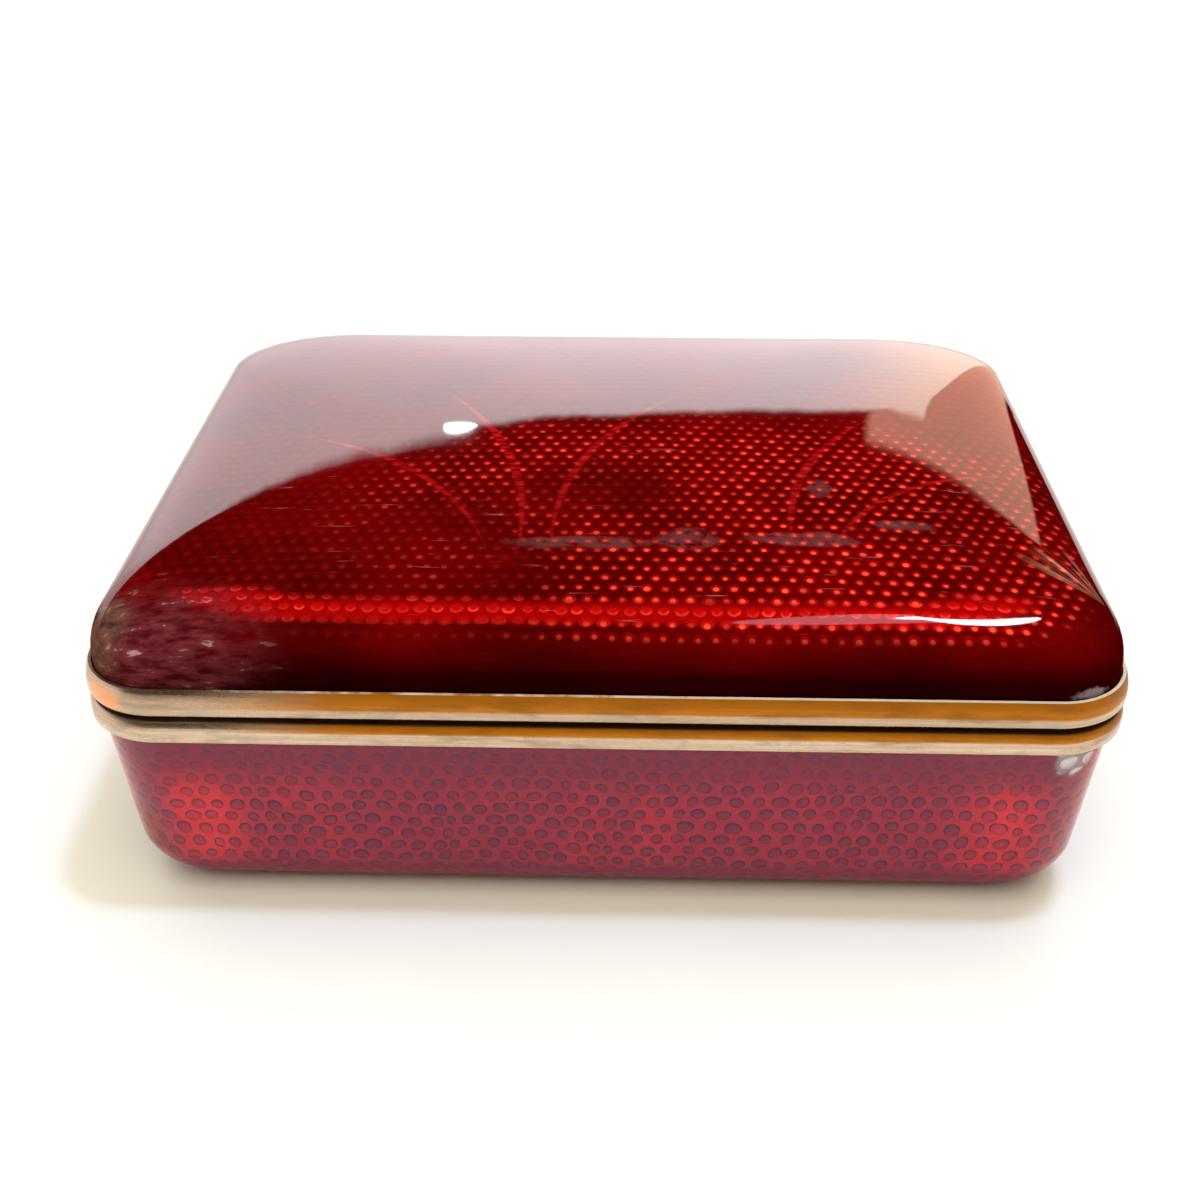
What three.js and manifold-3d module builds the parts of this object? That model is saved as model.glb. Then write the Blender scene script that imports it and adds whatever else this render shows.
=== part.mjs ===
// Hinged enamel box: a rounded copper tray and a pillow-topped copper lid, each skinned with
// stippled foil under red glass enamel, lined inside, and edged with a drawn brass channel.
// Millimetres, +Z up, front faces -Y, origin at the middle of the flat underside.
import * as THREE from 'three';
import { mergeVertices } from 'three/addons/utils/BufferGeometryUtils.js';
import Module from 'manifold-3d';

// Overall sizes
const LENGTH = 114;
const DEPTH = 90;
const CORNER_RADIUS = 9;
const BASE_HEIGHT = 26.5;
const LID_GAP = 0.8;
const DOME_HEIGHT = 9.3;

// Wall build-up, from the outer face inwards
const ENAMEL = 0.9;
const FOIL = 0.1;
const COPPER = 0.7;
const LINING = 0.5;
const LAYER_GAP = 0.05;

// Brass channel rims
const BASE_RIM_HEIGHT = 2.7;
const LID_RIM_HEIGHT = 3.1;
const RIM_PROUD = 1.0;
const ROOF_INSET = 0.5;
const LID_BAND = 1.0;
const BASE_ROOF = 1.1;
const ROOF_CROWN = 0.13;
const EDGE_BREAK = 0.2;
const SLOT_DEPTH = 1.0;
const SLOT_CLEARANCE = 0.15;
const INNER_LIP = 0.5;
const INNER_LIP_DROP = 0.2;
const REST_BEAD_WIDTH = 1.1;
const REST_CLEARANCE = 0.3;

// Base tray shape
const BASE_DRAFT = THREE.MathUtils.degToRad(4.6);
const BASE_FILLET = 7.5;

// Lid pillow shape: superellipse section, with plan corners that open out towards the crown
const DOME_PLAN_POWER = 1.7;
const DOME_RISE_POWER = 5.0;
const CORNER_OPENING = 0.55;

// Hinge
const HINGE_LENGTH = 48;
const HINGE_INSET = 1.0;
const KNUCKLE_COUNT = 5;
const KNUCKLE_RADIUS = 1.3;
const KNUCKLE_END_GAP = 0.25;
const PIN_RADIUS = 0.6;
const PIN_CLEARANCE = 0.08;
const PIN_OVERHANG = 0.2;
const CHANNEL_CLEARANCE = 0.25;
const STOP_BEVEL = THREE.MathUtils.degToRad(52.5);

// Facet counts
const CORNER_STEPS = 7;
const DOME_STEPS = 11;
const DOME_STEP_BIAS = 1.7;
const FILLET_STEPS = 6;
const ROUND_STEPS = 24;

// Heights and insets that follow from the sizes above
const BASE_RIM_BOTTOM = BASE_HEIGHT - BASE_RIM_HEIGHT;
const BASE_SEAT = BASE_RIM_BOTTOM + SLOT_DEPTH - SLOT_CLEARANCE;
const LID_BOTTOM = BASE_HEIGHT + LID_GAP;
const LID_RIM_TOP = LID_BOTTOM + LID_RIM_HEIGHT;
const LID_SEAT = LID_RIM_TOP - SLOT_DEPTH + SLOT_CLEARANCE;
const FOIL_START = ENAMEL + LAYER_GAP;
const COPPER_START = FOIL_START + FOIL + LAYER_GAP;
const LINING_START = COPPER_START + COPPER + LAYER_GAP;
const WALL = LINING_START + LINING;
const SLOT_OUTER = RIM_PROUD - SLOT_CLEARANCE;
const SLOT_INNER = RIM_PROUD + WALL + SLOT_CLEARANCE;
const RIM_THICKNESS = SLOT_INNER + INNER_LIP;
const REST_BEAD_INSET = RIM_THICKNESS - REST_BEAD_WIDTH;
const REST_BEAD_TOP = BASE_RIM_HEIGHT + LID_GAP - REST_CLEARANCE;
const HINGE_Y = DEPTH / 2 - HINGE_INSET;
const HINGE_Z = BASE_HEIGHT + LID_GAP / 2;
const CHANNEL_RADIUS = KNUCKLE_RADIUS + CHANNEL_CLEARANCE;
const KNUCKLE_PITCH = (HINGE_LENGTH + KNUCKLE_END_GAP) / KNUCKLE_COUNT;
const KNUCKLE_LENGTH = KNUCKLE_PITCH - KNUCKLE_END_GAP;
const PIN_LENGTH = HINGE_LENGTH + 2 * PIN_OVERHANG;

const wasm = await Module();
wasm.setup();

const finish = (color, roughness, metalness) =>
  new THREE.MeshStandardMaterial({ color, roughness, metalness });

// Rounded rectangle of points, counter-clockwise seen from above
function roundedRing(halfX, halfY, radius, z) {
  const points = [];
  const signs = [[1, 1], [-1, 1], [-1, -1], [1, -1]];
  signs.forEach(([sx, sy], corner) => {
    for (let i = 0; i <= CORNER_STEPS; i += 1) {
      const angle = (corner + i / CORNER_STEPS) * Math.PI / 2;
      const x = sx * (halfX - radius) + radius * Math.cos(angle);
      const y = sy * (halfY - radius) + radius * Math.sin(angle);
      points.push(new THREE.Vector3(x, y, z));
    }
  });
  return points;
}

function insetRing(inset, radius, z) {
  return roundedRing(LENGTH / 2 - inset, DEPTH / 2 - inset, radius, z);
}

// Closed skin through a run of rings: the ends are joined together, or each capped at a pole
function skinGeometry(rings, poles, flip) {
  const count = rings[0].length;
  const positions = rings.flat().concat(poles).flatMap((p) => [p.x, p.y, p.z]);
  const index = [];
  const face = (a, b, c) => {
    if (flip) index.push(a, c, b);
    else index.push(a, b, c);
  };
  const spans = poles.length ? rings.length - 1 : rings.length;
  for (let k = 0; k < spans; k += 1) {
    const lower = k * count;
    const upper = ((k + 1) % rings.length) * count;
    for (let i = 0; i < count; i += 1) {
      const j = (i + 1) % count;
      face(lower + i, lower + j, upper + i);
      face(lower + j, upper + j, upper + i);
    }
  }
  if (poles.length) {
    const first = rings.length * count;
    const last = (rings.length - 1) * count;
    for (let i = 0; i < count; i += 1) {
      const j = (i + 1) % count;
      face(first, j, i);
      face(first + 1, last + i, last + j);
    }
  }
  const geometry = new THREE.BufferGeometry();
  geometry.setAttribute('position', new THREE.Float32BufferAttribute(positions, 3));
  geometry.setIndex(index);
  return geometry;
}

// Lid surface at a given depth under the enamel's outer face, from its seat up to the crown
function lidSurface(under) {
  const inset = RIM_PROUD + under;
  const halfX = LENGTH / 2 - inset;
  const halfY = DEPTH / 2 - inset;
  const rise = DOME_HEIGHT - under;
  const corner = CORNER_RADIUS - inset;
  const rings = [roundedRing(halfX, halfY, corner, LID_SEAT)];
  for (let i = 0; i < DOME_STEPS; i += 1) {
    const sweep = Math.PI / 2 * Math.pow(i / DOME_STEPS, DOME_STEP_BIAS);
    const reach = Math.pow(Math.cos(sweep), 2 / DOME_PLAN_POWER);
    const z = LID_RIM_TOP + rise * Math.pow(Math.sin(sweep), 2 / DOME_RISE_POWER);
    const opening = Math.pow(1 - reach, CORNER_OPENING);
    const radius = reach * (corner + opening * (halfY - corner));
    rings.push(roundedRing(halfX * reach, halfY * reach, radius, z));
  }
  return { rings, pole: new THREE.Vector3(0, 0, LID_RIM_TOP + rise) };
}

// Base surface at a given depth under the enamel's outer face, from its seat down to the floor
function baseSurface(under) {
  const fillet = BASE_FILLET - under;
  const corner = CORNER_RADIUS - RIM_PROUD - under;
  const turnZ = BASE_FILLET * (1 - Math.sin(BASE_DRAFT));
  const wallRun = (BASE_RIM_BOTTOM - turnZ) * Math.tan(BASE_DRAFT);
  const filletInset = RIM_PROUD + wallRun + BASE_FILLET * Math.cos(BASE_DRAFT);
  const footInset = filletInset - fillet * Math.cos(BASE_DRAFT);
  const footZ = BASE_FILLET - fillet * Math.sin(BASE_DRAFT);
  const seatInset = footInset - (BASE_SEAT - footZ) * Math.tan(BASE_DRAFT);
  const rings = [insetRing(seatInset, corner, BASE_SEAT)];
  for (let i = 0; i <= FILLET_STEPS; i += 1) {
    const turn = BASE_DRAFT + (Math.PI / 2 - BASE_DRAFT) * i / FILLET_STEPS;
    const inset = filletInset - fillet * Math.cos(turn);
    rings.push(insetRing(inset, corner, BASE_FILLET - fillet * Math.sin(turn)));
  }
  return { rings, pole: new THREE.Vector3(0, 0, under) };
}

// One layer of the wall, between two depths of the same surface
function layer(surface, start, thickness, flip) {
  const outer = surface(start);
  const inner = surface(start + thickness);
  const rings = [...inner.rings.reverse(), ...outer.rings];
  return skinGeometry(rings, [inner.pole, outer.pole], flip);
}

// Rim ring swept from a closed section of [inset, height] points
function rimGeometry(section, floor) {
  const rings = section.map(([inset, z]) => insetRing(inset, CORNER_RADIUS - inset, floor + z));
  return skinGeometry(rings, [], false);
}

const lidRimSection = [
  [EDGE_BREAK, 0],
  [0, EDGE_BREAK],
  [0, LID_BAND],
  [ROOF_CROWN, (LID_BAND + LID_RIM_HEIGHT) / 2],
  [ROOF_INSET, LID_RIM_HEIGHT],
  [SLOT_OUTER, LID_RIM_HEIGHT],
  [SLOT_OUTER, LID_RIM_HEIGHT - SLOT_DEPTH],
  [SLOT_INNER, LID_RIM_HEIGHT - SLOT_DEPTH],
  [SLOT_INNER, LID_RIM_HEIGHT - INNER_LIP_DROP],
  [RIM_THICKNESS, LID_RIM_HEIGHT - INNER_LIP_DROP],
  [RIM_THICKNESS, EDGE_BREAK],
  [RIM_THICKNESS - EDGE_BREAK, 0],
];

// The raised inner bead carries the closed lid and leaves a shadow line outside it
const baseRimSection = [
  [SLOT_OUTER, 0],
  [EDGE_BREAK, 0],
  [0, EDGE_BREAK],
  [0, BASE_RIM_HEIGHT - BASE_ROOF],
  [ROOF_CROWN, BASE_RIM_HEIGHT - BASE_ROOF / 2],
  [ROOF_INSET, BASE_RIM_HEIGHT],
  [REST_BEAD_INSET, BASE_RIM_HEIGHT],
  [REST_BEAD_INSET, REST_BEAD_TOP],
  [RIM_THICKNESS - EDGE_BREAK, REST_BEAD_TOP],
  [RIM_THICKNESS, REST_BEAD_TOP - EDGE_BREAK],
  [RIM_THICKNESS, INNER_LIP_DROP],
  [SLOT_INNER, INNER_LIP_DROP],
  [SLOT_INNER, SLOT_DEPTH],
  [SLOT_OUTER, SLOT_DEPTH],
];

// Round bar along X on the hinge axis
function hingeBar(radius, length) {
  const geometry = new THREE.CylinderGeometry(radius, radius, length, ROUND_STEPS);
  geometry.rotateZ(Math.PI / 2);
  geometry.translate(0, HINGE_Y, HINGE_Z);
  return geometry;
}

// Wedge behind the hinge axis that bevels a rim, so the lid can lean back to its stop
function bevelWedge(side) {
  const reach = 4 * HINGE_INSET;
  const shape = new THREE.Shape();
  shape.moveTo(0, 0);
  shape.lineTo(reach, side * reach * Math.tan(STOP_BEVEL));
  shape.lineTo(reach, -side * reach);
  shape.lineTo(0, -side * reach);
  const width = LENGTH + reach;
  const geometry = new THREE.ExtrudeGeometry(shape, { depth: width, bevelEnabled: false });
  geometry.translate(0, 0, -width / 2);
  geometry.applyMatrix4(new THREE.Matrix4().set(
    0, 0, 1, 0,
    1, 0, 0, HINGE_Y,
    0, 1, 0, HINGE_Z,
    0, 0, 0, 1,
  ));
  return geometry;
}

function toManifold(geometry) {
  geometry.deleteAttribute('normal');
  geometry.deleteAttribute('uv');
  const merged = mergeVertices(geometry, 1e-4);
  return new wasm.Manifold(new wasm.Mesh({
    numProp: 3,
    vertProperties: new Float32Array(merged.attributes.position.array),
    triVerts: new Uint32Array(merged.index.array),
  }));
}

function fromManifold(manifold) {
  const mesh = manifold.getMesh();
  const geometry = new THREE.BufferGeometry();
  geometry.setAttribute('position', new THREE.BufferAttribute(mesh.vertProperties, 3));
  geometry.setIndex(new THREE.BufferAttribute(mesh.triVerts, 1));
  return geometry;
}

// Rim with the barrel channel and the stop bevel cut along its back rail
function hingedRim(section, floor, side) {
  const channel = toManifold(hingeBar(CHANNEL_RADIUS, PIN_LENGTH + 2 * CHANNEL_CLEARANCE));
  const wedge = toManifold(bevelWedge(side));
  const rim = toManifold(rimGeometry(section, floor)).subtract(channel).subtract(wedge);
  return fromManifold(rim);
}

// Tube knuckle, numbered from the left end of the hinge
function knuckle(number) {
  const bore = PIN_RADIUS + PIN_CLEARANCE;
  const half = KNUCKLE_LENGTH / 2;
  const section = [
    new THREE.Vector2(bore, -half),
    new THREE.Vector2(KNUCKLE_RADIUS, -half),
    new THREE.Vector2(KNUCKLE_RADIUS, half),
    new THREE.Vector2(bore, half),
    new THREE.Vector2(bore, -half),
  ];
  const geometry = new THREE.LatheGeometry(section, ROUND_STEPS);
  geometry.rotateZ(-Math.PI / 2);
  const x = (number - (KNUCKLE_COUNT - 1) / 2) * KNUCKLE_PITCH;
  geometry.translate(x, HINGE_Y, HINGE_Z);
  return geometry;
}

const group = new THREE.Group();

function addPiece(name, geometry, material) {
  const mesh = new THREE.Mesh(geometry, material);
  mesh.name = name;
  group.add(mesh);
}

addPiece('base_enamel', layer(baseSurface, 0, ENAMEL, true), finish(0x7a1016, 0.12, 0));
addPiece('base_foil', layer(baseSurface, FOIL_START, FOIL, true), finish(0xc9c9c6, 0.3, 1));
addPiece('base_shell', layer(baseSurface, COPPER_START, COPPER, true), finish(0xa8623f, 0.4, 1));
addPiece('base_lining', layer(baseSurface, LINING_START, LINING, true), finish(0x1d3a5c, 0.2, 0));
addPiece('base_rim', hingedRim(baseRimSection, BASE_RIM_BOTTOM, -1), finish(0xb08a58, 0.35, 1));
addPiece('lid_enamel', layer(lidSurface, 0, ENAMEL, false), finish(0x6a0a0e, 0.1, 0));
addPiece('lid_foil', layer(lidSurface, FOIL_START, FOIL, false), finish(0xc9c9c6, 0.3, 1));
addPiece('lid_shell', layer(lidSurface, COPPER_START, COPPER, false), finish(0xa8623f, 0.4, 1));
addPiece('lid_lining', layer(lidSurface, LINING_START, LINING, false), finish(0x1d3a5c, 0.2, 0));
addPiece('lid_rim', hingedRim(lidRimSection, LID_BOTTOM, 1), finish(0xb08a58, 0.35, 1));
addPiece('base_knuckle_left', knuckle(0), finish(0xa9834f, 0.35, 1));
addPiece('lid_knuckle_left', knuckle(1), finish(0xa9834f, 0.35, 1));
addPiece('base_knuckle_centre', knuckle(2), finish(0xa9834f, 0.35, 1));
addPiece('lid_knuckle_right', knuckle(3), finish(0xa9834f, 0.35, 1));
addPiece('base_knuckle_right', knuckle(4), finish(0xa9834f, 0.35, 1));
addPiece('hinge_pin', hingeBar(PIN_RADIUS, PIN_LENGTH), finish(0x9a958c, 0.3, 1));

export default group;
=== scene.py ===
import math

import bmesh
import bpy
from mathutils import Matrix, Vector


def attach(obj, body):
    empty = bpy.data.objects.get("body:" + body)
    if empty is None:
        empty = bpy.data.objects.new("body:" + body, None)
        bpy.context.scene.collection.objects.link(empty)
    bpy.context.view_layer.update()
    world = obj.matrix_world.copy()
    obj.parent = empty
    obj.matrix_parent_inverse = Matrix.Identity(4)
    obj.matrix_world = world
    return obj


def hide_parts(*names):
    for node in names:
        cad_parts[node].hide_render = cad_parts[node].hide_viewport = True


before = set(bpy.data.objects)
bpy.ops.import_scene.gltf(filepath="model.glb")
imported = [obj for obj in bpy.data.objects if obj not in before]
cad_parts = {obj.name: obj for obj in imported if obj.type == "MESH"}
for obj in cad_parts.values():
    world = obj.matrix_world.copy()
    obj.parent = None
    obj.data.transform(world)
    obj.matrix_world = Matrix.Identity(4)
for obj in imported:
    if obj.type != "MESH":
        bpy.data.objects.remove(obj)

MM = 0.001

# Sizes of the box, in millimetres, as the solids have them
LENGTH = 114.0
DEPTH = 90.0
CORNER = 9.0
RIM_PROUD = 1.0
BASE_RIM_BOTTOM = 23.8
LID_BOTTOM = 27.3
LID_RIM_TOP = 30.4
DOME = 9.3
BASE_SEAT = 24.65
LID_SEAT = 29.55
ENAMEL = 0.9
LINING_START = 1.85
LINING = 0.5
FILLET = 7.5
DRAFT = math.radians(4.6)

# The lid's crown: powers of its plan and rise, and how its corners open out towards the top
PLAN_POWER = 1.7
RISE_POWER = 5
CORNER_OPENING = 0.55

# The hinge, its channel in the rims, and the block that bevels the rims behind it
HINGE_Y = 44.0
HINGE_Z = 26.9
TUBE_PITCH = 48.25 / 5
TUBE_LENGTH = 9.4
TUBE_RADIUS = 1.3
TUBE_WALL = 0.62
CHANNEL_RADIUS = 1.55
CHANNEL_LENGTH = 48.9
STOP_BEVEL = math.radians(52.5)
STOP_BLOCK = 8
STOP_BLOCK_LENGTH = 130
TUBES = (
    "base_knuckle_left", "lid_knuckle_left", "base_knuckle_centre",
    "lid_knuckle_right", "base_knuckle_right")

# Rim sections: inset from the outer face, and height above the rim's lower edge
LID_RIM_SECTION = [
    (0.2, 0), (0, 0.2), (0, 1.0), (0.03, 1.5), (0.13, 2.05), (0.29, 2.6), (0.5, 3.1),
    (0.85, 3.1), (0.85, 2.1), (3.5, 2.1), (3.5, 2.9), (4.0, 2.9), (4.0, 0.2), (3.8, 0)]
BASE_RIM_SECTION = [
    (0.85, 0), (0.2, 0), (0, 0.2), (0, 1.6), (0.05, 1.9), (0.13, 2.15), (0.29, 2.45), (0.5, 2.7),
    (2.9, 2.7), (2.9, 3.2), (3.8, 3.2), (4.0, 3.0), (4.0, 0.2), (3.5, 0.2), (3.5, 1.0), (0.85, 1.0)]

# Fineness of the meshes
RING_POINTS = 96
CROWN_STEP_BIAS = 1.7
WALL_STEPS = 5
FLOOR_RINGS = (2, 16)
GLASS_CUTS = 11
RIM_CUTS = 9
RIM_EDGE = 0.07
TUBE_EDGE = 0.12
QUADRANTS = ((1, 1), (-1, 1), (-1, -1), (1, -1))

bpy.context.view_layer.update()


# Modelling


def clear_selection():
    if bpy.context.object and bpy.context.object.mode != "OBJECT":
        bpy.ops.object.mode_set(mode="OBJECT")
    bpy.ops.object.select_all(action="DESELECT")


def make_active(piece):
    clear_selection()
    piece.select_set(True)
    bpy.context.view_layer.objects.active = piece


def drop_all(mesh):
    for part in (mesh.verts, mesh.edges, mesh.faces):
        for item in part:
            item.select = False


def pick_points(piece, wanted):
    """Selects the points that wanted(point) accepts, and the edges between them."""
    mesh = bmesh.from_edit_mesh(piece.data)
    drop_all(mesh)
    for point in mesh.verts:
        point.select = wanted(point)
    mesh.select_flush(True)
    bmesh.update_edit_mesh(piece.data)


def pick_edges(piece, wanted):
    """Selects the edges that wanted(edge) accepts."""
    bpy.ops.mesh.select_mode(type="EDGE")
    mesh = bmesh.from_edit_mesh(piece.data)
    drop_all(mesh)
    for edge in mesh.edges:
        edge.select_set(wanted(edge))
    bmesh.update_edit_mesh(piece.data)


def picked(piece):
    mesh = bmesh.from_edit_mesh(piece.data)
    mesh.verts.index_update()
    return {point.index for point in mesh.verts if point.select}


def reshape_ring(piece, ring, old, new):
    """Takes a rounded rectangle of points from one outline to the next, a corner at a time."""
    grow = new[2] / old[2]
    for sx, sy in QUADRANTS:
        old_x, old_y = sx * (old[0] - old[2]), sy * (old[1] - old[2])
        new_x, new_y = sx * (new[0] - new[2]), sy * (new[1] - new[2])
        pick_points(piece, lambda p: p.index in ring and p.co.x * sx > 0 and p.co.y * sy > 0)
        if abs(grow - 1) < 1e-6:
            bpy.ops.transform.translate(value=((new_x - old_x) * MM, (new_y - old_y) * MM, 0))
        else:
            still_x = (new_x - grow * old_x) / (1 - grow) * MM
            still_y = (new_y - grow * old_y) / (1 - grow) * MM
            bpy.ops.transform.resize(
                value=(grow, grow, 1), center_override=(still_x, still_y, new[3] * MM))


def crosses_middle(edge):
    a, b = (v.co for v in edge.verts)
    return a.x * b.x < 0 or a.y * b.y < 0


def loft(name, outlines, closed, cuts):
    """Draws a skin ring by ring: each outline is half length, half depth, corner radius, height."""
    clear_selection()
    half_x, half_y, radius, z = outlines[0]
    bpy.ops.mesh.primitive_circle_add(
        vertices=RING_POINTS, radius=radius * MM, location=(0, 0, z * MM),
        rotation=(0, 0, math.pi / RING_POINTS))
    piece = bpy.context.object
    piece.name = name
    bpy.ops.object.transform_apply(location=True, rotation=True, scale=True)
    bpy.ops.object.mode_set(mode="EDIT")
    bpy.ops.mesh.select_mode(type="VERT")
    first = ring = set(range(RING_POINTS))
    reshape_ring(piece, ring, (radius, radius, radius, z), outlines[0])
    for old, new in zip(outlines, outlines[1:]):
        pick_points(piece, lambda p: p.index in ring)
        rise = (new[3] - old[3]) * MM
        bpy.ops.mesh.extrude_edges_move(TRANSFORM_OT_translate={"value": (0, 0, rise)})
        ring = picked(piece)
        reshape_ring(piece, ring, old, new)
    if closed:
        ends = (first, ring)
        pick_edges(piece, lambda e: any(all(v.index in end for v in e.verts) for end in ends))
        bpy.ops.mesh.bridge_edge_loops()
    else:
        pick_points(piece, lambda p: p.index in ring)
        bpy.ops.mesh.edge_face_add()
    pick_edges(piece, crosses_middle)
    bpy.ops.mesh.subdivide(number_cuts=cuts)
    bpy.ops.mesh.select_all(action="SELECT")
    bpy.ops.mesh.normals_make_consistent(inside=False)
    bpy.ops.object.mode_set(mode="OBJECT")
    return piece


def apply_modifier(piece, kind, **settings):
    make_active(piece)
    modifier = piece.modifiers.new(kind.lower(), kind)
    for key, value in settings.items():
        setattr(modifier, key, value)
    bpy.ops.object.modifier_apply(modifier=modifier.name)


def break_edges(piece, width, degrees):
    apply_modifier(piece, "BEVEL", width=width * MM, segments=2, limit_method="ANGLE",
                   angle_limit=math.radians(degrees))


def smooth(piece, degrees):
    make_active(piece)
    bpy.ops.object.shade_smooth_by_angle(angle=math.radians(degrees))


def lid_outlines(under, steps):
    """Rings of the pillow lid at a depth under its outer face, from the seat up to the crown."""
    half_x = LENGTH / 2 - RIM_PROUD - under
    half_y = DEPTH / 2 - RIM_PROUD - under
    corner = CORNER - RIM_PROUD - under
    rise = DOME - under
    rings = [(half_x, half_y, corner, LID_SEAT)]
    for i in range(steps):
        sweep = math.pi / 2 * (i / steps) ** CROWN_STEP_BIAS
        reach = math.cos(sweep) ** (2 / PLAN_POWER)
        radius = reach * (corner + (1 - reach) ** CORNER_OPENING * (half_y - corner))
        z = LID_RIM_TOP + rise * math.sin(sweep) ** (2 / RISE_POWER)
        rings.append((half_x * reach, half_y * reach, radius, z))
    return rings


def base_outlines(under, steps):
    """Rings of the tray at a depth under its outer face, from the seat down to the flat floor."""
    fillet = FILLET - under
    corner = CORNER - RIM_PROUD - under
    run = (BASE_RIM_BOTTOM - FILLET * (1 - math.sin(DRAFT))) * math.tan(DRAFT)
    turn_inset = RIM_PROUD + run + FILLET * math.cos(DRAFT)
    foot = turn_inset - fillet * math.cos(DRAFT)
    foot_z = FILLET - fillet * math.sin(DRAFT)

    def ring(inset, z):
        return (LENGTH / 2 - inset, DEPTH / 2 - inset, corner, z)

    rings = []
    for k in range(WALL_STEPS):
        z = BASE_SEAT + (foot_z - BASE_SEAT) * k / WALL_STEPS
        rings.append(ring(foot - (z - foot_z) * math.tan(DRAFT), z))
    for i in range(steps + 1):
        turn = DRAFT + (math.pi / 2 - DRAFT) * i / steps
        rings.append(ring(turn_inset - fillet * math.cos(turn), FILLET - fillet * math.sin(turn)))
    for inward in FLOOR_RINGS:
        rings.append(ring(turn_inset + inward, under))
    return rings


def glass_layer(name, outlines, thickness):
    piece = loft(name, outlines, closed=False, cuts=GLASS_CUTS)
    apply_modifier(piece, "SOLIDIFY", thickness=thickness * MM, offset=-1, use_even_offset=True)
    smooth(piece, 40)
    return piece


def rim(name, section, floor, side):
    """Brass channel swept round the box along its section, notched for the hinge."""
    rings = [(LENGTH / 2 - i, DEPTH / 2 - i, CORNER - i, floor + z) for i, z in section]
    piece = loft(name, rings, closed=True, cuts=RIM_CUTS)
    break_edges(piece, RIM_EDGE, 12)
    clear_selection()
    bpy.ops.mesh.primitive_cylinder_add(
        vertices=48, radius=CHANNEL_RADIUS * MM, depth=CHANNEL_LENGTH * MM,
        location=(0, HINGE_Y * MM, HINGE_Z * MM), rotation=(0, math.pi / 2, 0))
    barrel_channel = bpy.context.object
    along = Vector((0, math.cos(STOP_BEVEL), side * math.sin(STOP_BEVEL)))
    across = Vector((0, math.sin(STOP_BEVEL), -side * math.cos(STOP_BEVEL)))
    half = STOP_BLOCK / 2
    middle = Vector((0, HINGE_Y, HINGE_Z)) + half * along + half * across
    clear_selection()
    bpy.ops.mesh.primitive_cube_add(
        size=1, location=middle * MM, rotation=(side * STOP_BEVEL, 0, 0))
    stop_block = bpy.context.object
    stop_block.scale = (STOP_BLOCK_LENGTH * MM, STOP_BLOCK * MM, STOP_BLOCK * MM)
    bpy.context.view_layer.update()
    cutters = (barrel_channel, stop_block)
    for cutter in cutters:
        apply_modifier(piece, "BOOLEAN", operation="DIFFERENCE", solver="MANIFOLD", object=cutter)
    for cutter in cutters:
        bpy.data.objects.remove(cutter)
    smooth(piece, 25)
    return piece


def hinge_tube(name, number):
    """Short tube on the hinge axis with a bored hole and broken edges."""
    clear_selection()
    x = (number - len(TUBES) // 2) * TUBE_PITCH
    bpy.ops.mesh.primitive_cylinder_add(
        vertices=40, radius=TUBE_RADIUS * MM, depth=TUBE_LENGTH * MM,
        location=(x * MM, HINGE_Y * MM, HINGE_Z * MM), rotation=(0, math.pi / 2, 0))
    piece = bpy.context.object
    piece.name = name
    bpy.ops.object.transform_apply(location=True, rotation=True, scale=True)
    bpy.ops.object.mode_set(mode="EDIT")
    bpy.ops.mesh.select_mode(type="FACE")
    mesh = bmesh.from_edit_mesh(piece.data)
    for face in mesh.faces:
        face.select_set(abs(face.normal.x) > 0.9)
    bmesh.update_edit_mesh(piece.data)
    bpy.ops.mesh.inset(thickness=TUBE_WALL * MM, use_individual=True)
    bpy.ops.mesh.bridge_edge_loops()
    bpy.ops.mesh.select_all(action="SELECT")
    bpy.ops.mesh.normals_make_consistent(inside=False)
    bpy.ops.object.mode_set(mode="OBJECT")
    break_edges(piece, TUBE_EDGE, 50)
    smooth(piece, 35)
    return piece


# Shader building


class Value:
    """A number that changes over a surface. Arithmetic on it adds Math nodes."""

    def __init__(self, finish, socket):
        self.finish = finish
        self.socket = socket

    def __add__(self, other):
        return self.finish.math("ADD", self, other)

    __radd__ = __add__

    def __sub__(self, other):
        return self.finish.math("SUBTRACT", self, other)

    def __rsub__(self, other):
        return self.finish.math("SUBTRACT", other, self)

    def __mul__(self, other):
        return self.finish.math("MULTIPLY", self, other)

    __rmul__ = __mul__

    def __truediv__(self, other):
        return self.finish.math("DIVIDE", self, other)

    def __abs__(self):
        return self.finish.math("ABSOLUTE", self)


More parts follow.
